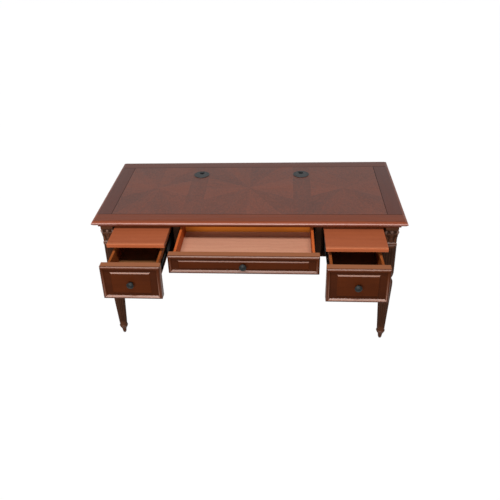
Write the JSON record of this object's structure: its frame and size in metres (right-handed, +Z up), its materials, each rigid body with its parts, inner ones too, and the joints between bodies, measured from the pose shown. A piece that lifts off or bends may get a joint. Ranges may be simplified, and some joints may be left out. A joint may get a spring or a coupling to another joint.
{
  "type": "computer desk",
  "caption": "Cherry writing desk on turned fluted legs, with drawers and pull-out writing slides drawn out at the front and cord grommets at the back of the top.",
  "frame": {"origin": "on the floor under the middle of the top", "axes": "+X to the sitter's right when facing the front, +Y to the back, +Z up"},
  "size_m": [1.575, 1.104, 0.7595],
  "materials": {
    "top_veneer": "satin lacquered cherry veneer",
    "top_edge": "satin lacquered cherry",
    "inlay": "dark stringing",
    "moulding": "satin lacquered cherry, glazed",
    "leg_wood": "dark glazed carved wood",
    "case_wood": "satin lacquered cherry",
    "inner_wood": "stained, unpolished",
    "front_wood": "satin lacquered cherry, glazed",
    "slide_wood": "satin lacquered cherry",
    "drawer_wood": "clear lacquered",
    "drawer_bottom": "printed veneer",
    "runner_steel": "black zinc",
    "screw_steel": "zinc plated",
    "knob_metal": "dark antiqued",
    "grommet_plastic": "moulded",
    "glide_plastic": "moulded"
  },
  "bodies": {
    "desk": {"desktop_field": "top_veneer", "desktop_front_rail": "top_edge", "desktop_back_rail": "top_edge", "desktop_left_rail": "top_edge", "desktop_right_rail": "top_edge", "inlay_stringing": "inlay", "cove_moulding": "moulding", "leg_front_left": "leg_wood", "leg_front_right": "leg_wood", "leg_back_left": "leg_wood", "leg_back_right": "leg_wood", "foot_glides": "glide_plastic", "left_end_apron": "case_wood", "right_end_apron": "case_wood", "back_apron": "case_wood", "left_divider": "inner_wood", "right_divider": "inner_wood", "left_post": "leg_wood", "right_post": "leg_wood", "runner_battens": "inner_wood", "dust_boards": "inner_wood", "slide_guides": "inner_wood", "top_battens": "inner_wood", "top_screws": "screw_steel", "corner_blocks": "inner_wood", "centre_runner_rails": "runner_steel", "left_runner_rails": "runner_steel", "right_runner_rails": "runner_steel", "left_grommet_liner": "grommet_plastic", "right_grommet_liner": "grommet_plastic"},
    "centre_drawer": {"centre_drawer_front": "front_wood", "centre_drawer_left_side": "drawer_wood", "centre_drawer_right_side": "drawer_wood", "centre_drawer_back": "drawer_wood", "centre_drawer_bottom": "drawer_bottom", "centre_drawer_knob": "knob_metal", "centre_drawer_runners": "runner_steel"},
    "left_drawer": {"left_drawer_front": "front_wood", "left_drawer_left_side": "drawer_wood", "left_drawer_right_side": "drawer_wood", "left_drawer_back": "drawer_wood", "left_drawer_bottom": "drawer_bottom", "left_drawer_knob": "knob_metal", "left_drawer_runners": "runner_steel"},
    "right_drawer": {"right_drawer_front": "front_wood", "right_drawer_left_side": "drawer_wood", "right_drawer_right_side": "drawer_wood", "right_drawer_back": "drawer_wood", "right_drawer_bottom": "drawer_bottom", "right_drawer_knob": "knob_metal", "right_drawer_runners": "runner_steel"},
    "centre_links": {"centre_runner_links": "runner_steel"},
    "left_links": {"left_runner_links": "runner_steel"},
    "right_links": {"right_runner_links": "runner_steel"},
    "left_slide": {"left_slide_board": "slide_wood", "left_slide_lip": "slide_wood"},
    "left_cap": {"left_grommet_cap": "grommet_plastic"},
    "right_slide": {"right_slide_board": "slide_wood", "right_slide_lip": "slide_wood"},
    "right_cap": {"right_grommet_cap": "grommet_plastic"}
  },
  "joints": [
    {"name": "centre_drawer_slide", "type": "slide", "parent": "desk", "child": "centre_drawer", "axis": [0, -1, 0], "range_m": [-0.2835, 0.01]},
    {"name": "centre_links_slide", "type": "slide", "parent": "desk", "child": "centre_links", "axis": [0, -1, 0], "range_m": [-0.142, 0.005]},
    {"name": "left_drawer_slide", "type": "slide", "parent": "desk", "child": "left_drawer", "axis": [0, -1, 0], "range_m": [-0.3495, 0.015]},
    {"name": "left_links_slide", "type": "slide", "parent": "desk", "child": "left_links", "axis": [0, -1, 0], "range_m": [-0.175, 0.008]},
    {"name": "right_drawer_slide", "type": "slide", "parent": "desk", "child": "right_drawer", "axis": [0, -1, 0], "range_m": [-0.3495, 0.015]},
    {"name": "right_links_slide", "type": "slide", "parent": "desk", "child": "right_links", "axis": [0, -1, 0], "range_m": [-0.175, 0.008]},
    {"name": "left_writing_slide", "type": "slide", "parent": "desk", "child": "left_slide", "axis": [0, -1, 0], "range_m": [-0.177, 0.063]},
    {"name": "right_writing_slide", "type": "slide", "parent": "desk", "child": "right_slide", "axis": [0, -1, 0], "range_m": [-0.2, 0.04]},
    {"name": "left_cap_lift", "type": "slide", "parent": "desk", "child": "left_cap", "axis": [0, 0, 1], "range_m": [0, 0.045]},
    {"name": "right_cap_lift", "type": "slide", "parent": "desk", "child": "right_cap", "axis": [0, 0, 1], "range_m": [0, 0.045]}
  ],
  "couplings": [
    {"joint": "centre_links_slide", "follows": "centre_drawer_slide", "ratio": 0.5},
    {"joint": "left_links_slide", "follows": "left_drawer_slide", "ratio": 0.5},
    {"joint": "right_links_slide", "follows": "right_drawer_slide", "ratio": 0.5}
  ]
}
